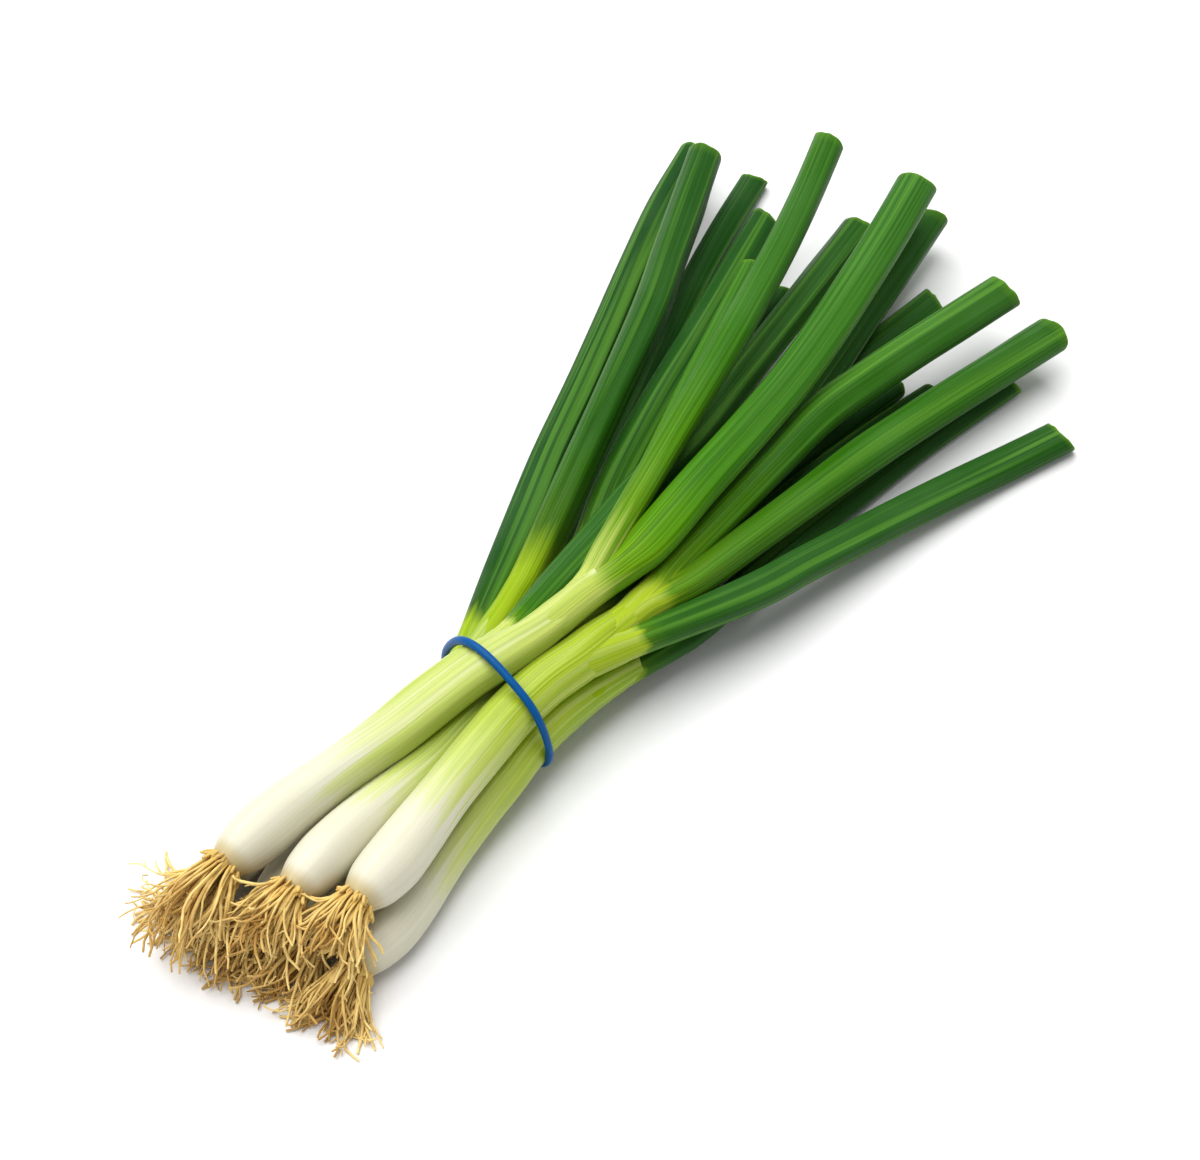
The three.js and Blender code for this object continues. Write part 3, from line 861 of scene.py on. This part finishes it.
BAND_RADIUS = 0.0013  # of the cord
BAND_SLICE = 0.0012  # how near to the band's plane the stems are felt, on each side
BAND_TURNS, BAND_SIDES = 144, 16  # steps round the bunch, and round the cord
BAND_PRESS = 0.0009  # how far it sinks into the stem that stands out most
BAND_EASE = 0.97  # how much of each finer wave of the outline the rubber follows


def band_plane():
    """The slanting plane of the plain band, as a, b and c in x = a + b * y + c * z, and the y
    and z of the band's middle."""
    points = [v.co for v in frame["nodes"]["rubber_band"].data.vertices]
    square, sums = Matrix(((0,) * 3,) * 3), Vector()
    for x, y, z in points:
        for i, first in enumerate((1, y, z)):
            sums[i] += first * x
            for j, second in enumerate((1, y, z)):
                square[i][j] += first * second
    low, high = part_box("rubber_band")
    middle = Vector(((low[1] + high[1]) / 2, (low[2] + high[2]) / 2))
    return square.inverted() @ sums, middle


def band_outline():
    """How far the bunch reaches in the plane of the band in each direction from its middle."""
    plane, middle = band_plane()
    points = []
    for piece in bpy.data.objects:
        if piece.name.startswith(("stem_", "leaf_")):
            for vertex in piece.data.vertices:
                x, y, z = vertex.co
                if abs(x - plane.dot(Vector((1, y, z)))) < BAND_SLICE:
                    points.append(Vector((y, z)) - middle)
    turns = [math.radians(2 * i) for i in range(180)]
    normals = [Vector((math.cos(turn), math.sin(turn))) for turn in turns]
    supports = [max(point.dot(normal) for point in points) for normal in normals]
    reaches = []
    for i in range(BAND_TURNS):
        turn = 2 * math.pi * i / BAND_TURNS
        way = Vector((math.cos(turn), math.sin(turn)))
        reaches.append(min(s / way.dot(n) for s, n in zip(supports, normals) if way.dot(n) > 0.3))
    rounds = []
    for i in range(BAND_TURNS):
        total = 0.0
        for j, reach in enumerate(reaches):
            turn = 2 * math.pi * (i - j) / BAND_TURNS
            waves = sum(BAND_EASE ** (h * h) * math.cos(h * turn) for h in range(1, 8))
            total += reach * (1 + 2 * waves)
        rounds.append(total / BAND_TURNS)
    ease = max(reach - BAND_PRESS - smoothed for reach, smoothed in zip(reaches, rounds))
    return plane, middle, [smoothed + ease + BAND_RADIUS for smoothed in rounds]


def make_band():
    """The cord, bent from a plain ring along the outline of the bunch in its plane."""
    bpy.ops.mesh.primitive_torus_add(
        major_segments=BAND_TURNS, minor_segments=BAND_SIDES, major_radius=1, minor_radius=0.1)
    band = bpy.context.object
    band.name = band.data.name = "band"
    plane, middle, reaches = band_outline()
    for vertex in band.data.vertices:
        x, y, z = vertex.co
        index = round(math.atan2(y, x) / (2 * math.pi) * BAND_TURNS) % BAND_TURNS
        angle = 2 * math.pi * index / BAND_TURNS
        reach = reaches[index] + (math.hypot(x, y) - 1) / 0.1 * BAND_RADIUS
        across = middle + Vector((math.cos(angle), math.sin(angle))) * reach
        forward = plane.dot(Vector((1, *across))) + z / 0.1 * BAND_RADIUS
        vertex.co = (forward, across.x, max(across.y, 0.0))
    band.data.update()
    bpy.ops.object.shade_smooth()
    bpy.ops.object.select_all(action="DESELECT")
    return band


def band_finish():
    """Smooth blue rubber with faint dust and a fine moulded skin."""
    material, tree, shader = new_material("band_rubber", 0.35, 0.12)
    grain = tree.nodes.new("ShaderNodeTexNoise")
    feed(tree, grain.inputs["Vector"], tree.nodes.new("ShaderNodeTexCoord").outputs["Object"])
    feed(tree, grain.inputs["Scale"], 900.0)
    feed(tree, grain.inputs["Detail"], 4.0)
    colour = mixed(tree, grain.outputs["Fac"], srgb(0, 70, 128), srgb(2, 88, 152), 0.8)
    feed(tree, shader.inputs["Base Color"], colour)
    bumped(tree, shader, grain.outputs["Fac"], 0.00005)
    return material


band = make_band()
band.data.materials.append(band_finish())
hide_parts("rubber_band")
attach(band, "root")

# ------------------------------------------------------- table and lights
# The bunch lies on a plain white painted table in a plain white room. One large soft lamp
# hangs far up at the left, and the white walls throw back enough light to fill the shadows.

LAMP_PLACE = Vector((0.04, 0.44, 1.2))  # a sun shines from there to the origin
LAMP_SPREAD = math.radians(70)  # how wide the lamp looks from the table
LAMP_POWER = 4.0
ROOM_LIGHT, ROOM_WHITE = 0.46, 1.0  # how bright the room lights the bunch, and how it looks
TABLE_SIZE, TABLE_WHITE = 12, (0.82, 0.82, 0.82, 1)

bpy.ops.mesh.primitive_plane_add(size=TABLE_SIZE, location=(0, 0, 0))
table = bpy.context.object
table.name = "table"
white, white_tree, white_shader = new_material("table_white", 0.9, 0.1)
feed(white_tree, white_shader.inputs["Base Color"], TABLE_WHITE)
table.data.materials.append(white)

room = bpy.data.worlds.new("room")
room.use_nodes = True
walls = room.node_tree
walls.nodes["Background"].inputs["Color"].default_value = (1, 1, 1, 1)
seen = walls.nodes.new("ShaderNodeLightPath").outputs["Is Camera Ray"]
brightness = ranged(walls, seen, 0, 1, ROOM_LIGHT, ROOM_WHITE)
feed(walls, walls.nodes["Background"].inputs["Strength"], brightness)
bpy.context.scene.world = room

bpy.ops.object.light_add(type="SUN", location=LAMP_PLACE)
lamp = bpy.context.object
lamp.name = "lamp"
lamp.data.angle = LAMP_SPREAD
lamp.data.energy = LAMP_POWER
lamp.rotation_euler = (-LAMP_PLACE).to_track_quat("-Z", "Y").to_euler()
bpy.ops.object.select_all(action="DESELECT")
bpy.context.scene.view_settings.view_transform = "Standard"

# ----------------------------------------------------------------- camera
# The camera has a long lens and stands high, with all of the bunch sharp. It looks down on
# the bunch from its root end and from its right side.

AIM = Vector((-0.0271, -0.0122, 0.0426))
AZIMUTH, ELEVATION, DISTANCE = math.radians(-56.3), math.radians(50), 0.98
LENS, SENSOR = 100, 36  # in millimetres
toward = Vector((math.sin(AZIMUTH) * math.cos(ELEVATION),
                 -math.cos(AZIMUTH) * math.cos(ELEVATION),
                 math.sin(ELEVATION)))
bpy.ops.object.camera_add(location=AIM + toward * DISTANCE)
camera = bpy.context.object
camera.rotation_euler = (-toward).to_track_quat("-Z", "Y").to_euler()
camera.data.lens = LENS
camera.data.sensor_width = SENSOR
camera.data.dof.use_dof = False
bpy.context.scene.camera = camera
